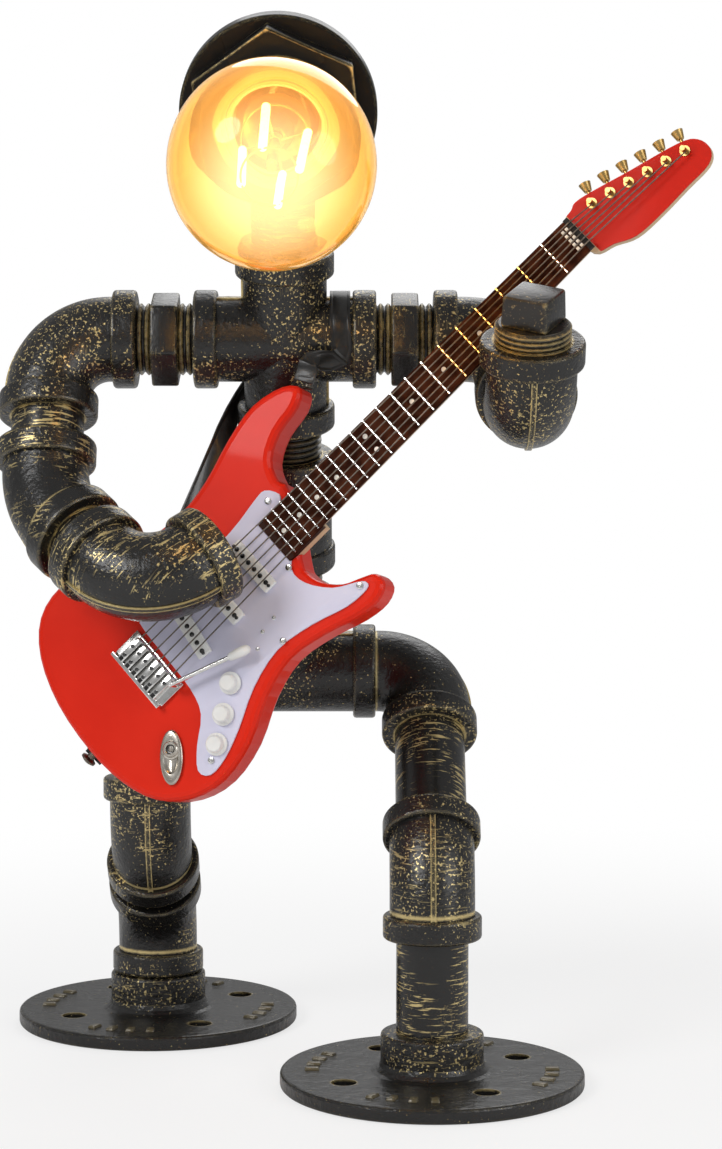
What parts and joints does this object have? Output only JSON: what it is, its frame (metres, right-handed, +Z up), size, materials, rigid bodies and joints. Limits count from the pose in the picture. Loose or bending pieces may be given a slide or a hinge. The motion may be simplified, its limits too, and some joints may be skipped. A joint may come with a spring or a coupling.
{
  "type": "pipe figure table lamp",
  "caption": "Table lamp built as a stepping figure of black threaded pipe fittings, with an amber globe bulb for a face and a red electric guitar on a strap.",
  "frame": {"origin": "centre of the front foot flange, in the plane of its underside", "axes": "+Z up, +X to the figure's left hand (the viewer's right), -Y towards the viewer that the bulb faces"},
  "size_m": [0.2088, 0.2534, 0.3072],
  "materials": {
    "fitting_iron": "black paint rubbed with brass on edges and scratches",
    "pipe_steel": "black paint rubbed with brass along the pipe",
    "holder_ceramic": "glazed white",
    "holder_brass": "plain",
    "bulb_brass": "rolled thread",
    "amber_glass": "clear amber",
    "stem_glass": "clear",
    "filament": "lit",
    "lead": "matt",
    "red_lacquer": "gloss red lacquer",
    "maple": "satin lacquer",
    "rosewood": "oiled",
    "nickel": "polished",
    "black_nut": "matt",
    "gold": "polished",
    "guard_plate": "gloss, slightly lavender",
    "white_plastic": "gloss",
    "strap_leather": "smooth black"
  },
  "bodies": {
    "frame": {"front_foot_flange": "fitting_iron", "rear_foot_flange": "fitting_iron", "front_shin_nipple": "pipe_steel", "front_knee_elbow": "fitting_iron", "front_thigh_nipple": "pipe_steel", "front_hip_elbow": "fitting_iron", "hip_tee": "fitting_iron", "rear_hip_elbow": "fitting_iron", "rear_thigh_nipple": "pipe_steel", "rear_upper_elbow": "fitting_iron", "rear_close_nipple": "pipe_steel", "rear_lower_elbow": "fitting_iron", "rear_ankle_nipple": "pipe_steel", "waist_nipple": "pipe_steel", "torso_coupling": "fitting_iron", "chest_nipple": "pipe_steel", "shoulder_cross": "fitting_iron", "right_shoulder_nipple": "fitting_iron", "left_shoulder_nipple": "fitting_iron", "neck_nipple": "pipe_steel", "riser_lead": "lead", "guitar_body": "red_lacquer", "guitar_neck": "maple", "fretboard": "rosewood", "frets": "nickel", "nut": "black_nut", "tuning_pegs": "gold", "pickguard": "guard_plate", "pickups": "white_plastic", "bridge": "nickel", "jack_plate": "nickel", "strings": "nickel", "strap_buttons": "nickel", "strap": "strap_leather"},
    "right_upper_arm": {"right_shoulder_elbow": "fitting_iron", "right_upper_arm_nipple": "pipe_steel"},
    "right_forearm": {"right_arm_elbow": "fitting_iron", "right_forearm_nipple": "pipe_steel"},
    "right_hand": {"right_hand_elbow": "fitting_iron"},
    "left_arm": {"left_shoulder_elbow": "fitting_iron", "left_forearm_nipple": "pipe_steel", "left_hand_elbow": "fitting_iron"},
    "plug": {"left_hand_plug": "fitting_iron"},
    "head": {"head_elbow": "fitting_iron", "head_nipple": "pipe_steel", "hat_reducer": "fitting_iron", "hat_hex_bushing": "fitting_iron", "lamp_socket": "holder_ceramic", "socket_shell": "holder_brass", "socket_contact": "holder_brass", "head_lead": "lead"},
    "bulb": {"bulb_cap": "bulb_brass", "bulb_glass": "amber_glass", "bulb_stem": "stem_glass", "bulb_filaments": "filament"},
    "tremolo": {"tremolo_arm": "nickel"},
    "volume": {"volume_knob": "white_plastic"},
    "tone_upper": {"tone_knob_upper": "white_plastic"},
    "tone_lower": {"tone_knob_lower": "white_plastic"}
  },
  "joints": [
    {"name": "right_shoulder_swing", "type": "hinge", "parent": "frame", "child": "right_upper_arm", "pos_m": [-0.0875, 0.02072, 0.21971], "axis": [-1, 0, 0], "range_deg": [0, 40]},
    {"name": "right_elbow_swivel", "type": "hinge", "parent": "right_upper_arm", "child": "right_forearm", "pos_m": [-0.113, 0.00635, 0.1889], "axis": [0, -0.4226, -0.9063], "range_deg": [0, 40]},
    {"name": "right_hand_swivel", "type": "hinge", "parent": "right_forearm", "child": "right_hand", "pos_m": [-0.09847, -0.016, 0.16002], "axis": [0.6184, -0.6095, -0.496], "range_deg": [0, 60]},
    {"name": "left_shoulder_swing", "type": "hinge", "parent": "frame", "child": "left_arm", "pos_m": [0.0005, 0.02072, 0.21971], "axis": [1, 0, 0], "range_deg": [0, 35]},
    {"name": "plug_turn", "type": "hinge", "parent": "left_arm", "child": "plug", "pos_m": [0.026, -0.04446, 0.2186], "axis": [0, -0.4067, 0.9135], "range_deg": [0, 360]},
    {"name": "head_turn", "type": "hinge", "parent": "frame", "child": "head", "pos_m": [-0.0435, 0.00465, 0.26917], "axis": [0, -0.309, 0.9511], "range_deg": [-25, 25]},
    {"name": "bulb_turn", "type": "hinge", "parent": "head", "child": "bulb", "pos_m": [-0.0435, -0.02986, 0.28477], "axis": [0, -0.9511, -0.309], "range_deg": [0, 360]},
    {"name": "tremolo_swing", "type": "hinge", "parent": "frame", "child": "tremolo", "pos_m": [-0.07535, -0.01111, 0.11983], "axis": [-0.3368, -0.9254, 0.1736], "range_deg": [-60, 0]},
    {"name": "volume_turn", "type": "hinge", "parent": "frame", "child": "volume", "pos_m": [-0.05849, -0.01393, 0.12081], "axis": [-0.3368, -0.9254, 0.1736], "range_deg": [0, 270]},
    {"name": "tone_upper_turn", "type": "hinge", "parent": "frame", "child": "tone_upper", "pos_m": [-0.06051, -0.01488, 0.11187], "axis": [-0.3368, -0.9254, 0.1736], "range_deg": [0, 270]},
    {"name": "tone_lower_turn", "type": "hinge", "parent": "frame", "child": "tone_lower", "pos_m": [-0.06237, -0.0158, 0.10335], "axis": [-0.3368, -0.9254, 0.1736], "range_deg": [0, 270]}
  ]
}
